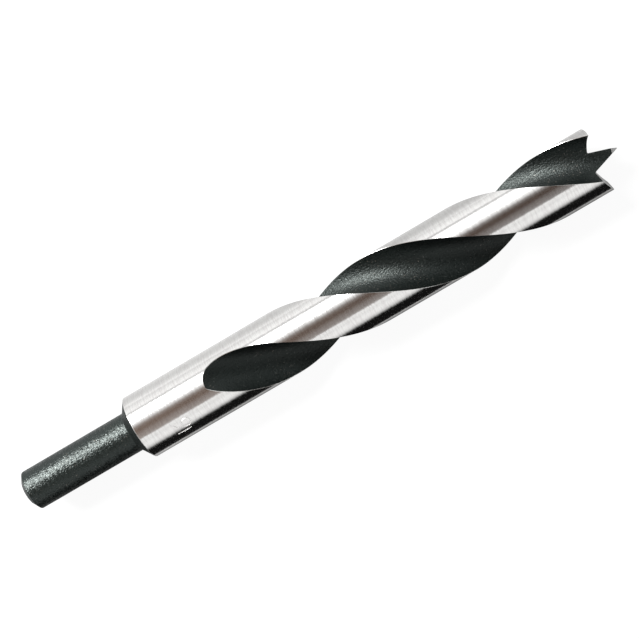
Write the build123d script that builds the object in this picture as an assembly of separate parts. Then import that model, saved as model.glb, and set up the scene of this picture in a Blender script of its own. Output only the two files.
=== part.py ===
from build123d import *
from math import cos, radians, sin, sqrt, tan
import os

# Wood drill bit, in millimetres.
# A straight round shank steps up to the full drill diameter. Two wide right-hand flutes run from
# the tip to a short plain collar, and the tip is ground to a brad point between two outer spurs.
# The axis is X. The origin is the centre of the shank's end face, +X runs to the brad point,
# and the bit lies with its axis level, so +Z is up. Angles about the axis are measured from +Z
# towards +Y.

# Diameters and lengths
drill_diameter = 16.0
shank_diameter = 10.0
overall_length = 161.0
shank_length = 29.3
collar_length = 19.5

# Turned shank and shoulder
shank_chamfer_length = 1.15
shank_chamfer_depth = 1.8
shoulder_length = 2.1
shoulder_fillet = 0.5

# Flutes
flute_lead = 96.0
land_angle = 85.7
web_thickness = 3.0
lead_edge_angle = 45.8
run_out_length = 18.3
run_out_drift = 30.9

# Ground tip
spur_setback = 5.1
lip_slope = 17.0
lip_relief = 10.8
brad_half_angle = 18.3
brad_half_width = 2.38
valley_radius = 0.3
pass_angle = 44.0
bevel_length = 2.0
bevel_lead = 74.0
tip_flat = 0.12

# Modelling allowances, outside the finished surfaces
stock_allowance = 1.0
clearance = 3.0
back_angle = 60.0
exit_length = 0.4
exit_drift = 0.25

# Spacing of the sections that a flute is lofted through
station_turn = 15.0
run_out_steps = 6

drill_radius = drill_diameter / 2
shank_radius = shank_diameter / 2
body_start = shank_length + shoulder_length
flute_end = body_start + collar_length
run_out_start = flute_end + run_out_length
spur_position = overall_length - spur_setback
stock_end = overall_length + stock_allowance

# A section across a flute is a circle that passes through both land edges and just misses the web.
flute_half_angle = (180 - land_angle) / 2
edge_depth = drill_radius * cos(radians(flute_half_angle)) - web_thickness / 2
edge_reach = drill_radius * sin(radians(flute_half_angle))
flute_radius = (edge_depth**2 + edge_reach**2) / (2 * edge_depth)

# The two flutes, and the two ground halves of the tip, are half a turn apart.
half_turns = (0, 180)


def direction(angle):
    """Unit vector across the axis at an angle in degrees from +Z towards +Y."""
    return Vector(0, sin(radians(angle)), cos(radians(angle)))


def turned_blank():
    """The bar as it leaves the lathe: chamfered shank, coned shoulder and plain cylinder."""
    outline = Polyline(
        (0, 0),
        (0, shank_radius - shank_chamfer_depth),
        (shank_chamfer_length, shank_radius),
        (shank_length, shank_radius),
        (body_start, drill_radius),
        (stock_end, drill_radius),
        (stock_end, 0),
        close=True,
    )
    half_section = make_face(outline)
    root = half_section.vertices().sort_by_distance((shank_length, shank_radius))[0]
    return revolve(fillet(root, shoulder_fillet), Axis.X)


def flute_station(position, closing=0.0, lift=0.0):
    """The flute's circle where it crosses the bar at a position along the axis.

    closing runs from 0, the full flute, to 1, where the mouth has shut. Past that, lift holds the
    circle clear of the bar. The flat back of the section is outside the bar throughout.
    """
    mouth = radians(flute_half_angle * max(0, 1 - closing))
    reach = drill_radius * cos(mouth) + sqrt(flute_radius**2 - (drill_radius * sin(mouth)) ** 2) + lift
    twist = 360 * (spur_position - position) / flute_lead
    angle = lead_edge_angle - flute_half_angle + twist - run_out_drift * closing
    outward = direction(angle)
    plane = Plane(
        origin=Vector(position, 0, 0) + outward * reach,
        x_dir=outward,
        z_dir=(1, 0, 0),
    )
    back_x = flute_radius * cos(radians(back_angle))
    back_y = flute_radius * sin(radians(back_angle))
    nose = ThreePointArc((back_x, back_y), (-flute_radius, 0), (back_x, -back_y))
    back = Line((back_x, -back_y), (back_x, back_y))
    return plane * make_face(Curve() + [nose, back])


def flute_cutter():
    """One flute, lofted from beyond the tip to where it has run out of the bar.

    Over the run-out the mouth closes along a quarter ellipse, mostly from its leading edge.
    """
    full_length = stock_end + clearance - run_out_start
    full_steps = round(full_length / (flute_lead * station_turn / 360))
    stations = []
    for step in range(full_steps):
        stations.append(flute_station(run_out_start + full_length * (1 - step / full_steps)))
    for step in range(run_out_steps + 1):
        sweep_angle = radians(90 * step / run_out_steps)
        position = run_out_start - run_out_length * sin(sweep_angle)
        stations.append(flute_station(position, 1 - cos(sweep_angle)))
    stations.append(flute_station(flute_end - exit_length, 1 + exit_drift, exit_length))
    return loft(stations)


def lip_cutter():
    """What the grinding pass takes off one side of the tip.

    The profile stands in the plane across the pass: a flank of the brad, the valley beside it and
    the lip rising to the spur. The pass runs back and down at the relief angle.
    """
    pass_side = direction(lead_edge_angle + pass_angle)
    pass_back = direction(lead_edge_angle + pass_angle + 90)
    relief = tan(radians(lip_relief))
    slope = tan(radians(lip_slope))
    flank = 1 / tan(radians(brad_half_angle))
    # The ridge between the two passes is the top of the brad, and sets where the valley lies.
    valley = overall_length - brad_half_width * flank
    height = stock_end + drill_radius * relief + clearance - valley
    outer = drill_radius + clearance
    outline = Polyline(
        (height, brad_half_width - height / flank),
        (0, brad_half_width),
        (slope * (outer - brad_half_width), outer),
        (height, outer),
        close=True,
    )
    profile = make_face(outline)
    valley_corner = profile.vertices().sort_by_distance((0, brad_half_width))[0]
    profile = fillet(valley_corner, valley_radius)
    pass_plane = Plane(origin=(valley, 0, 0), x_dir=(1, 0, 0), z_dir=Vector(1, 0, 0).cross(pass_side))
    travel = pass_back - Vector(relief, 0, 0)
    return extrude(pass_plane * profile, outer * travel.length, dir=travel.normalized(), both=True)


def bevel_cutter():
    """One of the two small facets that bring the brad's ridge to a point."""
    facing = direction(lead_edge_angle - bevel_lead)
    half_flat = tip_flat / 2
    rise = bevel_length / (web_thickness / 2 - half_flat)
    outline = Polyline(
        (clearance, half_flat - clearance / rise),
        (-rise * (web_thickness - half_flat), web_thickness),
        (clearance, web_thickness),
        close=True,
    )
    facet_plane = Plane(
        origin=(overall_length, 0, 0),
        x_dir=(1, 0, 0),
        z_dir=Vector(1, 0, 0).cross(facing),
    )
    return extrude(facet_plane * make_face(outline), web_thickness, both=True)


drill_bit = turned_blank()
for turn in half_turns:
    for cutter in (flute_cutter(), lip_cutter(), bevel_cutter()):
        drill_bit -= cutter.rotate(Axis.X, turn)

os.makedirs("parts", exist_ok=True)
export_step(drill_bit, "parts/drill_bit.step")
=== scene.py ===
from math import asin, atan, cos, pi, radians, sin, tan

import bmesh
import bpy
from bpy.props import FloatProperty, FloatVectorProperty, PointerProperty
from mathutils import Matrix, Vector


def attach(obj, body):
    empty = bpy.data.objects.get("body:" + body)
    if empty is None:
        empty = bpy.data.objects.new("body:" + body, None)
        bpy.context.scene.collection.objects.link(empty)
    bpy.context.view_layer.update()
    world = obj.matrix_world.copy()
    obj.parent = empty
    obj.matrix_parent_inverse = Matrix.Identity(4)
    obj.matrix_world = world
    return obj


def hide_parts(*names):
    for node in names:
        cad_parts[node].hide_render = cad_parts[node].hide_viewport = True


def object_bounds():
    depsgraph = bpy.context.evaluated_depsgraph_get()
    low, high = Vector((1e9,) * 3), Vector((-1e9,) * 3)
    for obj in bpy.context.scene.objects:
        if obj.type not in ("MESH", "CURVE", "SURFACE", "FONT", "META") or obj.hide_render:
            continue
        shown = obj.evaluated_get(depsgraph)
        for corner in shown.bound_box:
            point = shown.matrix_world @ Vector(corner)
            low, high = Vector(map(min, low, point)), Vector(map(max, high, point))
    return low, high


bl_info = {
    "name": "Wood Drill Bit",
    "version": (1, 0, 0),
    "blender": (4, 5, 0),
    "location": "View3D > Sidebar > Drill Bit",
    "description": "Models a straight-shank wood drill bit on its packed frame, and sets up its studio",
    "category": "Object",
}

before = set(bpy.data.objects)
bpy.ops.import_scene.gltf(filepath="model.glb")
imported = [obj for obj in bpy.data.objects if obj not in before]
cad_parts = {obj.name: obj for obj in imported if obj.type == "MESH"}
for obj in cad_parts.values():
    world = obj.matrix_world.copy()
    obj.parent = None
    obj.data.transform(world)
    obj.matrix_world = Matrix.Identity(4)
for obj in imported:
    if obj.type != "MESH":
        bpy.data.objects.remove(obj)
cad_low, cad_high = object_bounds()

# Steps that each stretch of the model is divided into
LAND_STEPS = 72
FLUTE_STEPS = 48
HELIX_STEPS = 210
RUN_OUT_STEPS = 40
COLLAR_STEPS = 24
SHANK_STEPS = 12
ROOT_STEPS = 8
VALLEY_STEPS = 8

# Steps round and along the engraver's strokes, and how far the stem of the 6 curves
STROKE_SIDES = 10
BOWL_STEPS = 32
STEM_STEPS = 12
STEM_TURN = radians(65.0)

# Room that the cutting pieces keep outside the finished surfaces, in metres
CLEARANCE = 0.003
CUTTER_REACH = 0.015

# How soon the bare edge of a flute narrows towards the end of its run-out
EDGE_FADE = 4.0

# Faces that meet at more than this are divided by a sharp edge
SMOOTH_ANGLE = radians(28.0)

# Vertices closer than the first are one, and those closer to a line than the second lie on it, in metres
SAME_PLACE = 1e-7
ON_LINE = 1e-6

# The bit's material slots, in order
GROUND, BARE, FLUTE, SHANK = range(4)

# Painted reflection of the floor in the steel: its brightness by the place across the bit in metres, with
# painted shade darker near the bit
PAINTED_FLOOR_REFLECTION = (
    (-0.1, 0.58), (-0.0165, 0.58), (-0.0135, 0.30), (-0.011, 0.28), (-0.009, 0.34), (0.0, 0.60),
    (0.0095, 0.77), (0.0135, 0.67), (0.0165, 0.60), (0.028, 0.57), (0.041, 0.65), (0.081, 0.83), (0.1, 0.92),
)

# Brightness of the tent in the steel, and how much of the camera's opening in it shows, by the angle in
# degrees from straight above towards +Y
TENT = (
    (-90, 0.02), (-86, 0.16), (-80, 0.66), (-72, 0.95), (-61, 1.0), (-51, 0.86), (-42, 0.98),
    (55.5, 1.0), (57.5, 0.50), (61.5, 0.50), (64, 1.08), (70, 1.10), (80, 0.98), (90, 0.79),
)
OPENING = ((-37.5, 0.0), (-36.5, 0.80), (-22, 0.86), (-8, 1.0), (1, 0.98), (9, 0.80), (17, 0.0))

# How the painted reflection of the floor changes along the bit: from one place to another in metres, and the
# brightness at each
# Painted reflection darker towards the tip
PAINTED_REFLECTION_DARKER_TO_TIP = (0.040, 0.120, 1.0, 0.78)
# Painted glow beyond the tip, which the ground facets of the tip reflect
PAINTED_GLOW_BEYOND_TIP = (0.170, 0.200, 0.0, 1.0)
# Painted shade beside the shank, and the side that takes it: -Y only
PAINTED_SHADE_BY_SHANK = (0.020, 0.032, 0.1, 1.0)
PAINTED_SHADE_SIDE = (-0.002, 0.002, 0.0, 1.0)

# How the tent changes with the lean of a reflection along the bit: the degrees that the opening bulges by
# near its widest, its colour from aslant to overhead, and the change to the tent's ends
OPENING_BULGE = (0.02, 0.11, 12.0, 0.0)
OPENING_COLOURS = (-0.24, 0.04, 0.0, 1.0)
TENT_TO_ENDS = (0.80, 0.97, 0.0, 1.0)

# Degrees from straight above over which that bulge sets in
BULGING_EDGE = (0.0, 10.0, 0.0, 1.0)

# Width and run of the lines that each tool leaves, in metres
GRINDING_LINES = (0.00015, 0.004)
HATCH_LINES = (0.0004, 0.003)
TURNING_LINES = (0.0004, 0.003)
MILLING_LINES = (0.00045, 0.007)
WHEEL_LINES = (0.00018, 0.004)

# Sizes of the grains and patches in the finishes, in metres
NICK_SIZE = 0.0004
BURR_SIZE = 0.0002
OXIDE_GRAIN = 0.00042
SPECK_SIZE = 0.00048
PATCH_SIZE = 0.008

# How deep the marks of each kind go, in metres, and the share of that depth that shows
NICKS = (0.00003, 0.4)
WHEEL_MARKS = (0.00003, 0.35)
MILLING_MARKS = (0.00006, 1.0)
OXIDE_GRAINS = (0.00012, 1.0)

# Smoothest and roughest places of each finish
BARE_ROUGHNESS = (0.22, 0.42)
FLUTE_ROUGHNESS = (0.25, 0.54)
SHANK_ROUGHNESS = (0.18, 0.46)
WHEEL_ROUGHNESS = (0.26, 0.40)
ENGRAVED_ROUGHNESS = (0.44, 0.56)

# Values between which most of a noise lies
NOISE_RANGE = (0.3, 0.7)


def length(name, description, default):
    """A setting in metres."""
    return FloatProperty(name=name, description=description, default=default, precision=5, unit="LENGTH")


def angle(name, description, degrees):
    """A setting in degrees, which Blender keeps in radians."""
    return FloatProperty(name=name, description=description, default=radians(degrees), subtype="ANGLE")


def colour(name, description, default):
    """A colour setting, as RGB between 0 and 1."""
    return FloatVectorProperty(
        name=name, description=description, default=default, min=0, max=1, subtype="COLOR"
    )


def share(name, description, default):
    """A setting between 0 and 1."""
    return FloatProperty(name=name, description=description, default=default, min=0, max=1, subtype="FACTOR")


class BitSizes(bpy.types.PropertyGroup):
    """Sizes of the drill bit. Its axis is X, from the shank's end face to the brad point."""

    overall_length: length("Overall length", "From the shank's end to the brad point", cad_high.x - cad_low.x)
    drill_diameter: length("Drill diameter", "Across the lands and the collar", cad_high.z - cad_low.z)
    shank_diameter: length("Shank diameter", "Diameter held by the chuck", 0.010)
    shank_length: length("Shank length", "From the end face to the shoulder", 0.0293)
    chamfer_length: length("Shank chamfer length", "Along the axis, at the shank's end", 0.00115)
    chamfer_depth: length("Shank chamfer depth", "Across the axis, at the shank's end", 0.0018)
    shoulder_length: length("Shoulder length", "Length of the cone up to the collar", 0.0021)
    root_radius: length("Root radius", "Rounding between shank and shoulder", 0.0005)
    collar_length: length("Collar length", "Plain cylinder behind the flutes", 0.0195)
    run_out_length: length("Run-out length", "Over which a flute rises out of the bar", 0.0183)
    run_out_drift: angle("Run-out drift", "Turn of the flute's middle over its run-out", 30.9)
    flute_lead: length("Flute lead", "Advance of the helix in one turn", 0.096)
    land_angle: angle("Land angle", "Turn covered by each land", 85.7)
    web_thickness: length("Web thickness", "Steel left between the two flutes", 0.003)
    lead_edge_angle: angle("Leading edge angle", "One leading edge at its spur, from +Z towards +Y", 45.8)
    edge_width: length("Bare edge width", "Width of the bared chamfers along the edges", 0.00009)
    spur_setback: length("Spur setback", "From the brad point back to the spurs", 0.0051)
    lip_slope: angle("Lip slope", "Rise of each lip towards its spur", 17.0)
    lip_relief: angle("Lip relief", "Fall of each lip behind its cutting edge", 10.8)
    brad_half_angle: angle("Brad half angle", "Slope of the brad's ground sides", 18.3)
    brad_half_width: length("Brad half width", "Half of the brad at the valleys", 0.00238)
    valley_radius: length("Valley radius", "Rounding between brad and lip", 0.0003)
    pass_angle: angle("Pass angle", "Turn of the grinding pass from the leading edge", 44.0)
    bevel_length: length("Bevel length", "Length of the facets at the brad point", 0.002)
    bevel_lead: angle("Bevel lead", "Turn of the facets from the leading edge", 74.0)
    tip_flat: length("Tip flat", "Width left at the brad point", 0.00012)
    number_start: length("Number start", "Place of the engraved number's top along the bit", 0.0394)
    one_height: length("Height of the 1", "Its length along the bit", 0.0036)
    number_point: length("Number point", "Diameter of the engraver's round point", 0.00034)
    number_depth: length("Number depth", "How deep the point cuts into the collar", 0.00012)
    one_turn: angle("Place of the 1", "From +Z towards +Y", -47.8)
    six_turn: angle("Place of the 6", "From +Z towards +Y", -32.6)
    six_foot: length("Foot of the 6", "Place of its foot along the bit", 0.04385)
    six_bowl: length("Bowl of the 6", "Radius of its bowl", 0.0011)

    @property
    def radius(self):
        return self.drill_diameter / 2

    @property
    def body_start(self):
        return self.shank_length + self.shoulder_length

    @property
    def flute_end(self):
        return self.body_start + self.collar_length

    @property
    def run_out_start(self):
        return self.flute_end + self.run_out_length

    @property
    def spur_position(self):
        return self.overall_length - self.spur_setback

    @property
    def point_height(self):
        """Height of the middle of the engraver's point above the axis."""
        return self.radius + self.number_point / 2 - self.number_depth

    @property
    def flute_half_angle(self):
        return (pi - self.land_angle) / 2

    @property
    def flute_radius(self):
        """Radius of the circle through both edges of a flute that just misses the web."""
        depth = self.radius * cos(self.flute_half_angle) - self.web_thickness / 2
        reach = self.radius * sin(self.flute_half_angle)
        return (depth**2 + reach**2) / (2 * depth)


class BitFinishes(bpy.types.PropertyGroup):
    """Colours and finishes of the drill bit."""

    ground_colour: colour("Ground steel", "Bare steel of lands, collar and tip", (0.87, 0.865, 0.85))
    ground_hatch: colour("Ground steel hatch", "Its faint darker lines", (0.80, 0.785, 0.775))
    ground_roughness: share("Ground roughness", "Average roughness of the ground steel", 0.22)
    ground_grain: share("Ground grain", "How far the highlights stretch across the grinding lines", 0.92)
    ground_waver: share("Ground waver", "How far the grinding lines lean from a true round", 0.016)
    edge_stain: colour("Edge stain", "Darker nicks along the bared edges", (0.45, 0.45, 0.44))
    wheel_stain: colour("Wheel stain", "Darker lines on the ground tip", (0.66, 0.66, 0.65))
    engraved_colour: colour("Engraved steel", "Bright steel in the engraved number", (0.92, 0.92, 0.91))
    oxide_colour: colour("Flute oxide", "Black oxide of flutes and shoulder", (0.0040, 0.0056, 0.0052))
    oxide_gloss: share("Flute gloss", "Specular level of the black oxide in the flutes", 0.32)
    oxide_tint: colour("Oxide tint", "Tint of the oxide's highlights", (0.90, 1.0, 0.96))
    shank_colour: colour("Shank oxide", "Black oxide on the shank", (0.0060, 0.0088, 0.0082))
    shank_gloss: share("Shank gloss", "Specular level of the black oxide on the shank", 0.46)
    shank_waver: share("Shank waver", "How far the turning lines lean from a true round", 0.12)
    worn_colour: colour("Worn oxide", "Specks where the oxide has rubbed through", (0.27, 0.28, 0.27))
    worn_warm: colour("Warm worn oxide", "The same in the browner patches", (0.27, 0.24, 0.21))


class StageSettings(bpy.types.PropertyGroup):
    """Camera, floor and light of the studio."""

    lens: FloatProperty(name="Lens", description="Focal length of the camera", default=82.35, unit="CAMERA")
    distance: length("Camera distance", "From the aim to the camera", 0.3441)
    aim_along: length("Aim along", "Place along the bit that the camera looks at", 0.0812)
    aim_across: length("Aim across", "Place across the bit that the camera looks at", 0.00053)
    lean: angle("Camera lean", "Turn of the camera from straight above towards the tip", 4.29)
    roll: angle("Camera roll", "Turn of the picture, which lifts the tip", 30.36)
    floor_size: length("Floor size", "Side of the square floor", 6.0)
    floor_colour: colour("Floor colour", "Plain pale floor", (0.93, 0.93, 0.93))
    floor_white: FloatProperty(name="Floor white", description="Brightness to the camera", default=1.06)
    # Grey of the painted reflection of the floor in the steel, and how much of the floor's own shading it
    # replaces
    painted_reflection_grey: colour("Floor in reflections", "The floor as the steel shows it", (0.86, 0.86, 0.86))
    painted_reflection_share: share("Sheen share", "How far that colour hides the floor's own shading", 0.8)
    shadow_share: share("Shadow share", "How much of the floor's brightness a shadow can take away", 0.12)
    sky_strength: FloatProperty(name="Sky strength", description="Soft light from all round", default=0.27)
    key_power: FloatProperty(name="Key power", description="Of the key lamp", default=14.0, unit="POWER")
    key_length: length("Key length", "Side of the key lamp along the bit", 0.45)
    key_height: length("Key height", "Side of the key lamp across the bit", 0.30)
    key_distance: length("Key distance", "From the bit to the key lamp", 0.80)
    key_side: FloatVectorProperty(
        name="Key side", description="Direction from the bit to the key lamp", default=(-0.45, 0.58, 0.675)
    )
    flag_foot: length("Flag foot", "From the axis to the near edge of the black card", 0.0178)
    flag_reach: length("Flag reach", "From the axis to the far edge of the black card", 0.150)
    flag_lift: length("Flag lift", "Gap between the floor and the card's near edge", 0.0001)
    flag_rise: length("Flag rise", "Height of the card's far edge above its near edge", 0.0187)
    flag_length: length("Flag length", "Length of the black card along the bit", 0.60)
    flag_colour: colour("Flag colour", "Black cloth on the card", (0.004, 0.004, 0.004))
    opening_near: colour("Opening overhead", "Camera's opening in the tent", (0.030, 0.018, 0.013))
    opening_far: colour("Opening aslant", "The same, towards the shank's end", (0.26, 0.19, 0.155))
    opening_widest: FloatProperty(
        name="Widest opening", description="Its place, as lean along the bit", default=-0.064
    )
    tent_ends: colour("Tent ends", "Plain ends of the tent, beyond the shank and the tip", (0.8, 0.8, 0.8))


def across(turn):
    """Unit vector across the axis at an angle from +Z towards +Y."""
    return Vector((0.0, sin(turn), cos(turn)))


def select_nothing():
    """Deselects every object, the frame's own among them."""
    bpy.ops.object.select_all(action="DESELECT")


def select_only(piece):
    """Makes a piece the only one selected, and the active one."""
    select_nothing()
    piece.select_set(True)
    bpy.context.view_layer.objects.active = piece


def select_by_place(test):
    """Selects the vertices in edit mode whose place passes the test, and the edges between them."""
    bpy.ops.mesh.select_mode(type="VERT")
    bpy.ops.mesh.select_all(action="DESELECT")
    mesh = bmesh.from_edit_mesh(bpy.context.object.data)
    for vertex in mesh.verts:
        vertex.select = test(vertex.co)
    mesh.select_flush_mode()
    mesh.select_flush(True)
    bmesh.update_edit_mesh(bpy.context.object.data)


def section_across_flutes(sizes, x, closing=0.0):
    """Points round the bit at a place along it: a land, a flute, the other land and the other flute.

    closing runs from 0, the full flutes, to 1, where their mouths have shut.
    """
    mouth = sizes.flute_half_angle * (1 - closing)
    edge = sizes.edge_width * min(1.0, EDGE_FADE * (1 - closing))
    twist = 2 * pi * (sizes.spur_position - x) / sizes.flute_lead
    middle = sizes.lead_edge_angle - sizes.flute_half_angle + twist - sizes.run_out_drift * closing
    half_arc = asin(sizes.radius * sin(mouth) / sizes.flute_radius)
    reach = sizes.radius * cos(mouth) + sizes.flute_radius * cos(half_arc)
    land_sweep = pi - 2 * (mouth + edge / sizes.radius)
    flute_sweep = half_arc - edge / sizes.flute_radius
    points = []
    for half_turn in (0, pi):
        land_start = middle + half_turn + (pi - land_sweep) / 2
        for step in range(LAND_STEPS + 1):
            points.append(across(land_start + land_sweep * step / LAND_STEPS) * sizes.radius)
        outward = across(middle + half_turn + pi)
        sideways = across(middle + half_turn + 1.5 * pi)
        for step in range(FLUTE_STEPS + 1):
            swing = flute_sweep * (2 * step / FLUTE_STEPS - 1)
            rise = reach - sizes.flute_radius * cos(swing)
            points.append(outward * rise + sideways * sizes.flute_radius * sin(swing))
    return [Vector((x, point.y, point.z)) for point in points]


def is_land_place(place):
    """Whether a place round the section lies on a land, and not in a flute."""
    return place % (LAND_STEPS + FLUTE_STEPS + 2) <= LAND_STEPS


def sweep_full_flutes(sizes):
    """The fluted stretch, as one section turned along the helix from the run-out to beyond the tip."""
    section = section_across_flutes(sizes, sizes.run_out_start)
    bpy.ops.mesh.primitive_circle_add(vertices=len(section), radius=sizes.radius, rotation=(0, pi / 2, 0))
    bpy.ops.object.transform_apply()
    bit = bpy.context.object
    for vertex, point in zip(bit.data.vertices, section):
        vertex.co = point
    places = bit.data.attributes.new("place", "INT", "POINT")
    places.data.foreach_set("value", list(range(len(section))))
    fluted_length = sizes.overall_length + CLEARANCE / 2 - sizes.run_out_start
    bpy.ops.object.modifier_add(type="SCREW")
    screw = bit.modifiers["Screw"]
    screw.axis = "X"
    screw.steps = HELIX_STEPS
    screw.render_steps = HELIX_STEPS
    screw.screw_offset = fluted_length
    screw.angle = 2 * pi * fluted_length / sizes.flute_lead
    bpy.ops.object.modifier_apply(modifier="Screw")
    return bit


def extrude_section(points):
    """Extrudes the selected ring once, and puts each of its vertices at its own point."""
    bpy.ops.mesh.extrude_edges_move()
    data = bpy.context.object.data
    mesh = bmesh.from_edit_mesh(data)
    places = mesh.verts.layers.int["place"]
    for vertex in mesh.verts:
        if vertex.select:
            vertex.co = points[vertex[places]]
    bmesh.update_edit_mesh(data)


def run_flutes_out(sizes):
    """Carries the section on towards the shank while the flutes close along a quarter ellipse."""
    for step in range(1, RUN_OUT_STEPS + 1):
        sweep = pi / 2 * step / RUN_OUT_STEPS
        closing = 1 - cos(sweep)
        x = sizes.run_out_start - sizes.run_out_length * sin(sweep)
        extrude_section(section_across_flutes(sizes, x, closing))
    bpy.ops.mesh.remove_doubles(threshold=SAME_PLACE)


def turn_to(x, radius, from_x, from_radius):
    """Extrudes the selected ring to another place and radius, as one cut on the lathe."""
    bpy.ops.mesh.extrude_edges_move(TRANSFORM_OT_translate={"value": (x - from_x, 0, 0)})
    if radius != from_radius:
        scale = radius / from_radius
        bpy.ops.transform.resize(value=(1, scale, scale), center_override=(x, 0, 0))


def shank_profile(sizes):
    """Places and radii from the flutes' end to the shank's end face, with the narrow edges between them."""
    shank_radius = sizes.shank_diameter / 2
    edge = sizes.edge_width
    plain_collar = sizes.collar_length - edge
    profile = []
    for step in range(1, COLLAR_STEPS + 1):
        profile.append((sizes.flute_end - plain_collar * step / COLLAR_STEPS, sizes.radius))
    slope = atan((sizes.radius - shank_radius) / sizes.shoulder_length)
    profile.append((sizes.body_start - edge * cos(slope), sizes.radius - edge * sin(slope)))
    root_reach = sizes.root_radius * tan(slope / 2)
    for step in range(ROOT_STEPS + 1):
        swing = slope * (1 - step / ROOT_STEPS)
        x = sizes.shank_length - root_reach + sizes.root_radius * sin(swing)
        profile.append((x, shank_radius + sizes.root_radius * (1 - cos(swing))))
    shank_start = sizes.chamfer_length + edge
    plain_from = sizes.shank_length - root_reach
    for step in range(1, SHANK_STEPS + 1):
        profile.append((plain_from + (shank_start - plain_from) * step / SHANK_STEPS, shank_radius))
    chamfer_slope = atan(sizes.chamfer_depth / sizes.chamfer_length)
    end_radius = shank_radius - sizes.chamfer_depth
    edge_along = edge * cos(chamfer_slope)
    edge_in = edge * sin(chamfer_slope)
    profile.append((sizes.chamfer_length - edge_along, shank_radius - edge_in))
    profile.append((edge_along, end_radius + edge_in))
    profile.append((0.0, end_radius - edge))
    return profile


def turn_shank(sizes):
    """Turns the collar, the shoulder and the chamfered shank, and closes the end face."""
    from_x = sizes.flute_end
    from_radius = sizes.radius
    for x, radius in shank_profile(sizes):
        turn_to(x, radius, from_x, from_radius)
        from_x = x
        from_radius = radius
    bpy.ops.mesh.edge_face_add()


def close_front(sizes):
    """Closes the open section beyond the tip, where the grinding takes it off again."""
    front = sizes.overall_length + CLEARANCE / 4
    select_by_place(lambda place: place.x > front)
    bpy.ops.mesh.edge_face_add()


def add_block(name, centre, half_sizes, turn):
    """A block to cut with: its Z side faces across the axis at an angle from +Z towards +Y."""
    select_nothing()
    bpy.ops.mesh.primitive_cube_add(size=2.0, location=centre, rotation=(-turn, 0, 0), scale=half_sizes)
    block = bpy.context.object
    block.name = name
    bpy.ops.object.transform_apply()
    bpy.ops.object.mode_set(mode="EDIT")
    return block


def keep_beyond(point, normal):
    """Cuts the piece in edit mode by a plane and closes it, and keeps the side that the normal points to."""
    bpy.ops.mesh.select_all(action="SELECT")
    bpy.ops.mesh.bisect(plane_co=point, plane_no=normal, use_fill=True, clear_inner=True)


def facing(normal, towards):
    """The unit normal, turned round if need be so that it points the same way as a direction."""
    unit = normal.normalized()
    return unit if unit.dot(towards) > 0 else -unit


def lip_wheel(sizes):
    """What the grinding wheel clears on one side: everything above the lip and outside the brad's side."""
    turn = sizes.lead_edge_angle + sizes.pass_angle
    side = across(turn)
    back = across(turn + pi / 2)
    axis = Vector((1.0, 0.0, 0.0))
    valley_x = sizes.overall_length - sizes.brad_half_width / tan(sizes.brad_half_angle)
    valley = Vector((valley_x, 0.0, 0.0)) + side * sizes.brad_half_width
    travel = back - axis * tan(sizes.lip_relief)
    lip = side + axis * tan(sizes.lip_slope)
    flank = axis - side * tan(sizes.brad_half_angle)
    centre = valley + (axis + side) * (CUTTER_REACH - CLEARANCE)
    wheel = add_block("lip_wheel", centre, (CUTTER_REACH, CUTTER_REACH, CUTTER_REACH), turn)
    keep_beyond(valley, facing(lip.cross(travel), axis))
    keep_beyond(valley, facing(flank.cross(travel), side))
    valley_line = travel.normalized()
    select_by_place(lambda place: (place - valley).cross(valley_line).length < ON_LINE)
    opening = pi / 2 - sizes.lip_slope + sizes.brad_half_angle
    bpy.ops.mesh.bevel(offset=sizes.valley_radius / tan(opening / 2), segments=VALLEY_STEPS, affect="EDGES")
    bpy.ops.object.mode_set(mode="OBJECT")
    return wheel


def facet_wheel(sizes):
    """What one touch of the wheel takes off the brad's ridge, beside its point."""
    turn = sizes.lead_edge_angle - sizes.bevel_lead
    side = across(turn)
    axis = Vector((1.0, 0.0, 0.0))
    half_flat = sizes.tip_flat / 2
    rise = sizes.bevel_length / (sizes.web_thickness / 2 - half_flat)
    point = axis * sizes.overall_length + side * half_flat
    centre = axis * sizes.overall_length
    reach = sizes.web_thickness
    wheel = add_block("facet_wheel", centre, (2 * reach, reach, reach), turn)
    keep_beyond(point, facing(axis + side * rise, axis))
    bpy.ops.object.mode_set(mode="OBJECT")
    return wheel


def turn_half(piece):
    """Turns a piece half a turn round the bit's axis, in its mesh."""
    piece.data.transform(Matrix.Rotation(pi, 4, "X"))


def cut_away(bit, cutter):
    """Cuts a piece out of the bit and gives the cut faces the cutting piece's material."""
    select_only(bit)
    bpy.ops.object.modifier_add(type="BOOLEAN")
    boolean = bit.modifiers["Boolean"]
    boolean.object = cutter
    boolean.operation = "DIFFERENCE"
    boolean.solver = "EXACT"
    boolean.material_mode = "TRANSFER"
    bpy.ops.object.modifier_apply(modifier="Boolean")


def discard(piece):
    """Deletes a cutting piece that has done its work."""
    select_nothing()
    piece.select_set(True)
    bpy.ops.object.delete()


def grind_tip(bit, sizes, ground):
    """Grinds the brad, the valleys, the lips and the facets, each from both sides."""
    for wheel in (lip_wheel(sizes), facet_wheel(sizes)):
        wheel.data.materials.append(ground)
        cut_away(bit, wheel)
        turn_half(wheel)
        cut_away(bit, wheel)
        discard(wheel)


def stroke_of_one(sizes):
    """The engraver's straight stroke for the 1, laid flat on the bar's crown."""
    select_nothing()
    middle = sizes.number_start + sizes.one_height / 2
    bpy.ops.mesh.primitive_cylinder_add(
        vertices=STROKE_SIDES,
        radius=sizes.number_point / 2,
        depth=sizes.one_height,
        location=(middle, sizes.radius * sizes.one_turn, sizes.point_height),
        rotation=(0, pi / 2, 0),
    )
    bpy.ops.object.transform_apply()
    return bpy.context.object


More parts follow.
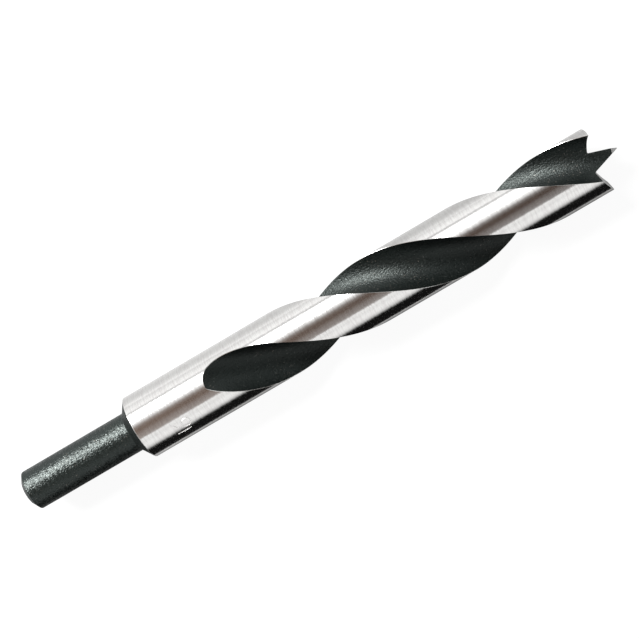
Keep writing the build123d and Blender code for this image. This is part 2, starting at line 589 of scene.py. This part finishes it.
def bowl_of_six(sizes):
    """The engraver's round stroke for the bowl of the 6, laid flat on the bar's crown."""
    select_nothing()
    bpy.ops.mesh.primitive_torus_add(
        major_segments=BOWL_STEPS,
        minor_segments=STROKE_SIDES,
        major_radius=sizes.six_bowl,
        minor_radius=sizes.number_point / 2,
        location=(sizes.six_foot - sizes.six_bowl, sizes.radius * sizes.six_turn, sizes.point_height),
    )
    bpy.ops.object.transform_apply()
    return bpy.context.object


def stem_of_six(sizes):
    """The engraver's curved stroke from the side of the bowl up to the top of the 6."""
    select_nothing()
    middle = sizes.six_foot - sizes.six_bowl
    side = sizes.radius * sizes.six_turn - sizes.six_bowl
    centre = (middle, side + middle - sizes.number_start, sizes.point_height)
    bpy.ops.mesh.primitive_circle_add(
        vertices=STROKE_SIDES,
        radius=sizes.number_point / 2,
        location=(middle, side, sizes.point_height),
        rotation=(0, pi / 2, 0),
    )
    bpy.ops.object.transform_apply()
    stem = bpy.context.object
    bpy.ops.object.mode_set(mode="EDIT")
    bpy.ops.mesh.spin(steps=STEM_STEPS, angle=STEM_TURN, center=centre, axis=(0, 0, 1))
    bpy.ops.mesh.select_all(action="SELECT")
    bpy.ops.mesh.fill_holes(sides=0)
    bpy.ops.mesh.normals_make_consistent(inside=False)
    bpy.ops.object.mode_set(mode="OBJECT")
    return stem


def wrap_round_bar(piece, crown):
    """Bends a piece that lies flat on the bar's crown round the bar."""
    for vertex in piece.data.vertices:
        turn = vertex.co.y / crown
        vertex.co = across(turn) * vertex.co.z + Vector((vertex.co.x, 0.0, 0.0))


def engrave_size(bit, sizes, engraved):
    """Engraves the plain size number 16 into the collar, with a round point."""
    for stroke in (stroke_of_one(sizes), bowl_of_six(sizes), stem_of_six(sizes)):
        wrap_round_bar(stroke, sizes.radius)
        stroke.data.materials.append(engraved)
        cut_away(bit, stroke)
        discard(stroke)


def fill(tree, node, sockets):
    """Fills a node's sockets with values, colours as RGB, or links them to sockets of other nodes."""
    for key, value in sockets.items():
        socket = node.inputs[key]
        if isinstance(value, bpy.types.NodeSocket):
            tree.links.new(value, socket)
        elif socket.type == "RGBA":
            socket.default_value = (*value, 1.0)
        else:
            socket.default_value = value


def add_node(tree, kind, sockets, **settings):
    """Adds a node, sets it up and fills its sockets."""
    node = tree.nodes.new(kind)
    for name, value in settings.items():
        setattr(node, name, value)
    fill(tree, node, sockets)
    return node


def calculated(tree, operation, *values):
    """The result of one step of arithmetic on numbers or sockets."""
    return add_node(tree, "ShaderNodeMath", dict(enumerate(values)), operation=operation).outputs["Value"]


def combined(tree, operation, sockets):
    """The result of one step of arithmetic on vectors."""
    return add_node(tree, "ShaderNodeVectorMath", sockets, operation=operation).outputs["Vector"]


def spread(tree, value, low, high, to_low, to_high):
    """Carries a value from one range over to another, and holds it inside."""
    sockets = {"Value": value, "From Min": low, "From Max": high, "To Min": to_low, "To Max": to_high}
    return add_node(tree, "ShaderNodeMapRange", sockets).outputs["Result"]


def mixed_colour(tree, share_of_second, first, second):
    """Mixes two colours, each given as RGB or as a socket."""
    sockets = {0: share_of_second, 6: first, 7: second}
    return add_node(tree, "ShaderNodeMix", sockets, data_type="RGBA").outputs[2]


def mixed_shader(tree, share_of_second, first, second):
    """Mixes the outputs of two shaders."""
    return add_node(tree, "ShaderNodeMixShader", {0: share_of_second, 1: first, 2: second}).outputs["Shader"]


def ramp(tree, value, low, high, stops):
    """A grey ramp through stops of a value and its brightness."""
    node = add_node(tree, "ShaderNodeValToRGB", {"Fac": spread(tree, value, low, high, 0.0, 1.0)})
    elements = node.color_ramp.elements
    while len(elements) < len(stops):
        elements.new(0.5)
    for element, (place, brightness) in zip(elements, stops):
        element.position = (place - low) / (high - low)
        element.color = (brightness, brightness, brightness, 1.0)
    return node.outputs["Color"]


def object_place(tree):
    """Places on the piece, in metres, as the pattern's own coordinates."""
    return add_node(tree, "ShaderNodeTexCoord", {}).outputs["Object"]


def stretched(tree, place, along, sideways):
    """Coordinates for a noise whose features have one size along the bit and another across it."""
    scale = (1 / along, 1 / sideways, 1 / sideways)
    return add_node(tree, "ShaderNodeMapping", {"Vector": place, "Scale": scale}).outputs["Vector"]


def lines_round_the_bar(tree, width, run):
    """Coordinates in which a noise makes lines round the bar, as the lathe and the grinder leave."""
    return stretched(tree, object_place(tree), width, run)


def lines_along_the_bar(tree, width, run):
    """Coordinates in which a noise makes straight lines along the bar, as the wheel leaves at the tip."""
    return stretched(tree, object_place(tree), run, width)


def lines_along_the_flutes(tree, sizes, width, run):
    """Coordinates in which a noise makes lines that follow the helix, as milling leaves."""
    place = object_place(tree)
    along = add_node(tree, "ShaderNodeSeparateXYZ", {"Vector": place}).outputs["X"]
    turn = calculated(tree, "MULTIPLY", along, -2 * pi / sizes.flute_lead)
    sockets = {"Vector": place, "Angle": turn}
    straight = add_node(tree, "ShaderNodeVectorRotate", sockets, rotation_type="X_AXIS").outputs["Vector"]
    return stretched(tree, straight, run, width)


def grain(tree, size):
    """Coordinates in which a noise makes grains of one size all over the bit."""
    return stretched(tree, object_place(tree), size, size)


def noise(tree, place, detail=2.0, roughness=0.5):
    """Noise between 0 and 1, with features about as large as one unit of its coordinates."""
    sockets = {"Vector": place, "Scale": 1.0, "Detail": detail, "Roughness": roughness}
    return add_node(tree, "ShaderNodeTexNoise", sockets).outputs["Fac"]


def roughened(tree, height, depth, strength, surface):
    """Bump on a surface's normal, from a height between 0 and 1 that stands for a depth in metres."""
    sockets = {"Height": height, "Distance": depth, "Strength": strength, "Normal": surface}
    return add_node(tree, "ShaderNodeBump", sockets).outputs["Normal"]


def surface_normal(tree):
    """The surface's own normal."""
    return add_node(tree, "ShaderNodeNewGeometry", {}).outputs["Normal"]


def leaned_round_the_bar(tree, lines, amount):
    """The surface's normal, leaned a little to one side or the other round the bar on each line."""
    surface = surface_normal(tree)
    round_bar = combined(tree, "CROSS_PRODUCT", {0: surface, 1: (1.0, 0.0, 0.0)})
    lean = spread(tree, lines, 0.25, 0.75, -amount, amount)
    sideways = combined(tree, "SCALE", {0: round_bar, "Scale": lean})
    return combined(tree, "NORMALIZE", {0: combined(tree, "ADD", {0: surface, 1: sideways})})


def new_finish(name):
    """A new material, with its node tree and its shader."""
    finish = bpy.data.materials.new(name)
    finish.use_nodes = True
    return finish, finish.node_tree, finish.node_tree.nodes["Principled BSDF"]


def ground_steel(finishes):
    """Bright cylindrical grinding: fine lines round the bar that stretch the reflections along it."""
    finish, tree, shader = new_finish("ground_steel")
    lines = noise(tree, lines_round_the_bar(tree, *GRINDING_LINES), detail=1.0)
    hatch = spread(tree, noise(tree, lines_round_the_bar(tree, *HATCH_LINES)), 0.40, 0.65, 0.0, 1.0)
    rough = finishes.ground_roughness
    tangent = add_node(tree, "ShaderNodeTangent", {}, direction_type="RADIAL", axis="X")
    fill(tree, shader, {
        "Base Color": mixed_colour(tree, hatch, finishes.ground_colour, finishes.ground_hatch),
        "Metallic": 1.0,
        "Roughness": spread(tree, lines, *NOISE_RANGE, rough * 0.85, rough * 1.15),
        "Anisotropic": finishes.ground_grain,
        "Anisotropic Rotation": 0.25,
        "Tangent": tangent.outputs["Tangent"],
        "Normal": leaned_round_the_bar(tree, lines, finishes.ground_waver),
    })
    return finish


def bare_edge(finishes):
    """The thin strip along an edge where the grinding has bared the steel."""
    finish, tree, shader = new_finish("bare_edge")
    nicks = noise(tree, grain(tree, NICK_SIZE), detail=3.0)
    dull = spread(tree, nicks, 0.35, 0.65, 0.0, 1.0)
    fill(tree, shader, {
        "Base Color": mixed_colour(tree, dull, finishes.ground_colour, finishes.edge_stain),
        "Metallic": 1.0,
        "Roughness": spread(tree, nicks, *NOISE_RANGE, *BARE_ROUGHNESS),
        "Normal": roughened(tree, nicks, *NICKS, surface_normal(tree)),
    })
    return finish


def black_oxide(name, finishes, base, gloss, roughness, under):
    """Black oxide with a satin grain over a surface, and specks rubbed through to the steel in patches."""
    finish, tree, shader = new_finish(name)
    grains = noise(tree, grain(tree, OXIDE_GRAIN), detail=1.5, roughness=0.6)
    fine = noise(tree, grain(tree, SPECK_SIZE), detail=3.0, roughness=0.8)
    specks = spread(tree, fine, 0.63, 0.74, 0.0, 1.0)
    patches = noise(tree, grain(tree, PATCH_SIZE))
    rubbed = calculated(tree, "MULTIPLY", specks, spread(tree, patches, 0.38, 0.62, 0.2, 1.0))
    browner = spread(tree, patches, 0.48, 0.60, 0.0, 1.0)
    worn = mixed_colour(tree, browner, finishes.worn_colour, finishes.worn_warm)
    fill(tree, shader, {
        "Base Color": mixed_colour(tree, rubbed, base, worn),
        "Metallic": rubbed,
        "Roughness": spread(tree, grains, *NOISE_RANGE, *roughness),
        "Specular IOR Level": gloss,
        "Specular Tint": finishes.oxide_tint,
        "Normal": roughened(tree, grains, *OXIDE_GRAINS, under(tree)),
    })
    return finish


def flute_oxide(finishes, sizes):
    """Black oxide over milled steel, whose lines follow the helix."""

    def milled(tree):
        lines = noise(tree, lines_along_the_flutes(tree, sizes, *MILLING_LINES), roughness=0.6)
        return roughened(tree, lines, *MILLING_MARKS, surface_normal(tree))

    base = finishes.oxide_colour
    return black_oxide("flute_oxide", finishes, base, finishes.oxide_gloss, FLUTE_ROUGHNESS, milled)


def shank_oxide(finishes):
    """Black oxide over the turned shank, whose lines run round the bar."""

    def turned(tree):
        lines = noise(tree, lines_round_the_bar(tree, *TURNING_LINES), roughness=0.6)
        return leaned_round_the_bar(tree, lines, finishes.shank_waver)

    base = finishes.shank_colour
    return black_oxide("shank_oxide", finishes, base, finishes.shank_gloss, SHANK_ROUGHNESS, turned)


def tip_ground(finishes):
    """Steel bared by the wheel that ground the tip, with straight fine lines."""
    finish, tree, shader = new_finish("tip_ground")
    lines = noise(tree, lines_along_the_bar(tree, *WHEEL_LINES), detail=3.0, roughness=0.6)
    dull = spread(tree, lines, *NOISE_RANGE, 0.0, 1.0)
    fill(tree, shader, {
        "Base Color": mixed_colour(tree, dull, finishes.ground_colour, finishes.wheel_stain),
        "Metallic": 1.0,
        "Roughness": spread(tree, lines, *NOISE_RANGE, *WHEEL_ROUGHNESS),
        "Normal": roughened(tree, lines, *WHEEL_MARKS, surface_normal(tree)),
    })
    return finish


def engraved_steel(finishes):
    """Bright but dulled steel in the engraver's strokes."""
    finish, tree, shader = new_finish("engraved_steel")
    burrs = noise(tree, grain(tree, BURR_SIZE))
    fill(tree, shader, {
        "Base Color": finishes.engraved_colour,
        "Metallic": 1.0,
        "Roughness": spread(tree, burrs, *NOISE_RANGE, *ENGRAVED_ROUGHNESS),
    })
    return finish


def give_finishes(bit, finishes, sizes):
    """Gives each face its finish by its place round the section and along the bar."""
    oxides = (flute_oxide(finishes, sizes), shank_oxide(finishes))
    for finish in (ground_steel(finishes), bare_edge(finishes), *oxides):
        bit.data.materials.append(finish)
    mesh = bmesh.new()
    mesh.from_mesh(bit.data)
    places = mesh.verts.layers.int["place"]
    edge = sizes.edge_width
    for face in mesh.faces:
        along = face.calc_center_median().x
        on_land = [is_land_place(vertex[places]) for vertex in face.verts]
        round_end_face = edge / 10 < along < edge
        if round_end_face:
            face.material_index = BARE
        elif along < sizes.shank_length:
            face.material_index = SHANK
        elif along < sizes.body_start - edge:
            face.material_index = FLUTE
        elif along < sizes.body_start + edge:
            face.material_index = BARE
        elif along < sizes.flute_end or all(on_land):
            face.material_index = GROUND
        elif any(on_land):
            face.material_index = BARE
        else:
            face.material_index = FLUTE
    mesh.to_mesh(bit.data)
    mesh.free()


def true_ground_normals(bit):
    """Points the normals of the ground cylinder straight out from its axis, as on a true round."""
    data = bit.data
    normals = [corner.vector.copy() for corner in data.corner_normals]
    for face in data.polygons:
        if face.material_index == GROUND:
            for corner in face.loop_indices:
                place = data.vertices[data.loops[corner].vertex_index].co
                normals[corner] = Vector((0.0, place.y, place.z)).normalized()
    data.normals_split_custom_set(normals)


class OBJECT_OT_add_wood_drill_bit(bpy.types.Operator):
    """Models the wood drill bit and gives it its finishes"""

    bl_idname = "object.add_wood_drill_bit"
    bl_label = "Wood Drill Bit"
    bl_options = {"REGISTER", "UNDO"}

    def execute(self, context):
        sizes = context.scene.bit_sizes
        finishes = context.scene.bit_finishes
        select_nothing()
        bit = sweep_full_flutes(sizes)
        bit.name = "wood_bit"
        bpy.ops.object.mode_set(mode="EDIT")
        nearly = sizes.run_out_start + CLEARANCE / 100
        select_by_place(lambda place: place.x < nearly)
        run_flutes_out(sizes)
        turn_shank(sizes)
        close_front(sizes)
        bpy.ops.mesh.select_all(action="SELECT")
        bpy.ops.mesh.normals_make_consistent(inside=False)
        bpy.ops.object.mode_set(mode="OBJECT")
        give_finishes(bit, finishes, sizes)
        bit.data.attributes.remove(bit.data.attributes["place"])
        grind_tip(bit, sizes, tip_ground(finishes))
        engrave_size(bit, sizes, engraved_steel(finishes))
        select_only(bit)
        bpy.ops.object.shade_smooth_by_angle(angle=SMOOTH_ANGLE)
        true_ground_normals(bit)
        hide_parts("drill_bit")
        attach(bit, "root")
        return {"FINISHED"}


def floor_with_painted_reflection(stage):
    """Plain pale paper: white to the camera but for a soft shadow, and to the steel a painted reflection of
    the floor, with painted shade near the bit and beside the shank and a painted glow beyond the tip.
    """
    finish, tree, shader = new_finish("floor_with_painted_reflection")
    fill(tree, shader, {"Base Color": stage.floor_colour, "Roughness": 0.9, "Specular IOR Level": 0.0})
    paths = add_node(tree, "ShaderNodeLightPath", {}).outputs
    parts = add_node(tree, "ShaderNodeSeparateXYZ", {"Vector": object_place(tree)}).outputs
    # Painted reflection of the floor across the bit, with painted shade darker near the bit
    beside = ramp(tree, parts["Y"], -0.1, 0.1, PAINTED_FLOOR_REFLECTION)
    # Painted reflection darker towards the tip, a painted glow beyond it, and painted shade beside the shank
    # on the -Y side
    darker_to_tip_painted = spread(tree, parts["X"], *PAINTED_REFLECTION_DARKER_TO_TIP)
    painted_tip_glow = spread(tree, parts["X"], *PAINTED_GLOW_BEYOND_TIP)
    painted_shank_shade = spread(tree, parts["X"], *PAINTED_SHADE_BY_SHANK)
    painted_shade_one_side = calculated(tree, "MAXIMUM", painted_shank_shade, spread(tree, parts["Y"], *PAINTED_SHADE_SIDE))
    level = calculated(tree, "MULTIPLY_ADD", calculated(tree, "MULTIPLY", beside, painted_shade_one_side), darker_to_tip_painted, painted_tip_glow)
    white = add_node(tree, "ShaderNodeEmission", {"Color": (1.0, 1.0, 1.0), "Strength": stage.floor_white})
    # Emission that paints the floor's reflection in the steel, seen only by glossy rays
    greys = add_node(tree, "ShaderNodeEmission", {"Color": stage.painted_reflection_grey, "Strength": level})
    seen_white = calculated(tree, "MULTIPLY", paths["Is Camera Ray"], 1 - stage.shadow_share)
    painted_reflection_weight = calculated(tree, "MULTIPLY", paths["Is Glossy Ray"], stage.painted_reflection_share)
    to_camera = mixed_shader(tree, seen_white, shader.outputs["BSDF"], white.outputs["Emission"])
    with_painted_reflection = mixed_shader(tree, painted_reflection_weight, to_camera, greys.outputs["Emission"])
    fill(tree, tree.nodes["Material Output"], {"Surface": with_painted_reflection})
    return finish


def add_floor(stage):
    """A plain pale floor that the bit lies on."""
    select_nothing()
    bpy.ops.mesh.primitive_plane_add(size=stage.floor_size, location=(0, 0, cad_low.z))
    floor = bpy.context.object
    floor.name = "floor"
    bpy.ops.object.transform_apply()
    floor.data.materials.append(floor_with_painted_reflection(stage))


def add_flag(stage):
    """A black card beside the bit, which only reflections see: the dark band along the steel."""
    select_nothing()
    width = stage.flag_reach - stage.flag_foot
    middle = -(stage.flag_reach + stage.flag_foot) / 2
    height = cad_low.z + stage.flag_lift + stage.flag_rise / 2
    bpy.ops.mesh.primitive_plane_add(size=1.0, location=(stage.aim_along, middle, height))
    flag = bpy.context.object
    flag.name = "flag"
    flag.rotation_euler.x = -atan(stage.flag_rise / width)
    flag.scale = (stage.flag_length, Vector((width, stage.flag_rise)).length, 1.0)
    bpy.ops.object.transform_apply()
    finish, tree, shader = new_finish("flag_cloth")
    fill(tree, shader, {"Base Color": stage.flag_colour, "Roughness": 1.0, "Specular IOR Level": 0.0})
    flag.data.materials.append(finish)
    flag.visible_camera = False
    flag.visible_diffuse = False
    flag.visible_shadow = False


def add_key_lamp(stage):
    """A soft lamp above, beside the bit and towards its shank, which the flutes and the shank catch."""
    aim = Vector((stage.aim_along, stage.aim_across, 0))
    towards = Vector(stage.key_side).normalized()
    across_lamp = towards.cross(Vector((1, 0, 0))).normalized()
    along_lamp = across_lamp.cross(towards)
    turned = Matrix((along_lamp, across_lamp, towards)).transposed().to_euler()
    bpy.ops.object.light_add(type="AREA", location=aim + towards * stage.key_distance, rotation=turned)
    lamp = bpy.context.object
    lamp.name = "key_lamp"
    lamp.data.shape = "RECTANGLE"
    lamp.data.size = stage.key_length
    lamp.data.size_y = stage.key_height
    lamp.data.energy = stage.key_power
    lamp.visible_camera = False


def place_camera(stage):
    """Hangs the camera over the bit, leaned towards the tip and rolled so that the tip lifts."""
    lean = Matrix.Rotation(stage.lean, 3, "Y")
    back = lean @ Vector((0, 0, 1))
    turned = lean @ Matrix.Rotation(-stage.roll, 3, "Z")
    aim = Vector((stage.aim_along, stage.aim_across, 0))
    bpy.ops.object.camera_add(location=aim + back * stage.distance, rotation=turned.to_euler())
    camera = bpy.context.object
    camera.name = "camera"
    camera.data.lens = stage.lens
    camera.data.clip_start = 0.01
    bpy.context.scene.camera = camera


def tent_seen(tree, stage):
    """What the steel sees of the tent: its greys, the camera's opening overhead, and its plain ends."""
    direction = add_node(tree, "ShaderNodeTexCoord", {}).outputs["Generated"]
    parts = add_node(tree, "ShaderNodeSeparateXYZ", {"Vector": direction}).outputs
    turn = calculated(tree, "DEGREES", calculated(tree, "ARCTAN2", parts["Y"], parts["Z"]))
    from_widest = calculated(tree, "ABSOLUTE", calculated(tree, "SUBTRACT", parts["X"], stage.opening_widest))
    bulge = spread(tree, from_widest, *OPENING_BULGE)
    upper = spread(tree, turn, *BULGING_EDGE)
    widened = calculated(tree, "SUBTRACT", turn, calculated(tree, "MULTIPLY", upper, bulge))
    nearer = spread(tree, parts["X"], *OPENING_COLOURS)
    opening = mixed_colour(tree, nearer, stage.opening_far, stage.opening_near)
    shown = ramp(tree, widened, -90, 90, OPENING)
    opened = mixed_colour(tree, shown, ramp(tree, turn, -90, 90, TENT), opening)
    at_ends = spread(tree, calculated(tree, "ABSOLUTE", parts["X"]), *TENT_TO_ENDS)
    return mixed_colour(tree, at_ends, opened, stage.tent_ends)


def light_world(stage):
    """A white sky that lights softly, and a tent that only the steel reflects."""
    world = bpy.data.worlds.new("studio")
    bpy.context.scene.world = world
    world.use_nodes = True
    tree = world.node_tree
    paths = add_node(tree, "ShaderNodeLightPath", {}).outputs
    sky = tree.nodes["Background"]
    strength = spread(tree, paths["Is Camera Ray"], 0.0, 1.0, stage.sky_strength, 1.0)
    fill(tree, sky, {"Color": (1.0, 1.0, 1.0), "Strength": strength})
    tent = add_node(tree, "ShaderNodeBackground", {"Color": tent_seen(tree, stage), "Strength": 1.0})
    split = mixed_shader(tree, paths["Is Glossy Ray"], sky.outputs["Background"], tent.outputs["Background"])
    fill(tree, tree.nodes["World Output"], {"Surface": split})
    world.cycles.sampling_method = "NONE"
    bpy.context.scene.view_settings.view_transform = "Standard"


class OBJECT_OT_add_bit_studio(bpy.types.Operator):
    """Sets up the floor, the light and the camera"""

    bl_idname = "object.add_bit_studio"
    bl_label = "Bit Studio"
    bl_options = {"REGISTER", "UNDO"}

    def execute(self, context):
        stage = context.scene.bit_stage
        add_floor(stage)
        add_flag(stage)
        add_key_lamp(stage)
        place_camera(stage)
        light_world(stage)
        return {"FINISHED"}


class VIEW3D_PT_wood_drill_bit(bpy.types.Panel):
    """Buttons and settings of the drill bit and its studio"""

    bl_idname = "VIEW3D_PT_wood_drill_bit"
    bl_label = "Wood Drill Bit"
    bl_space_type = "VIEW_3D"
    bl_region_type = "UI"
    bl_category = "Drill Bit"

    def draw(self, context):
        scene = context.scene
        self.layout.operator("object.add_wood_drill_bit")
        self.layout.operator("object.add_bit_studio")
        groups = (("Sizes", scene.bit_sizes), ("Finishes", scene.bit_finishes), ("Studio", scene.bit_stage))
        for heading, group in groups:
            box = self.layout.box()
            box.label(text=heading)
            for name in type(group).__annotations__:
                box.prop(group, name)


CLASSES = (
    BitSizes,
    BitFinishes,
    StageSettings,
    OBJECT_OT_add_wood_drill_bit,
    OBJECT_OT_add_bit_studio,
    VIEW3D_PT_wood_drill_bit,
)


def register():
    for cls in CLASSES:
        bpy.utils.register_class(cls)
    bpy.types.Scene.bit_sizes = PointerProperty(type=BitSizes)
    bpy.types.Scene.bit_finishes = PointerProperty(type=BitFinishes)
    bpy.types.Scene.bit_stage = PointerProperty(type=StageSettings)


def unregister():
    del bpy.types.Scene.bit_stage
    del bpy.types.Scene.bit_finishes
    del bpy.types.Scene.bit_sizes
    for cls in reversed(CLASSES):
        bpy.utils.unregister_class(cls)


def main():
    register()
    bpy.ops.object.add_wood_drill_bit()
    bpy.ops.object.add_bit_studio()


if __name__ == "__main__":
    main()
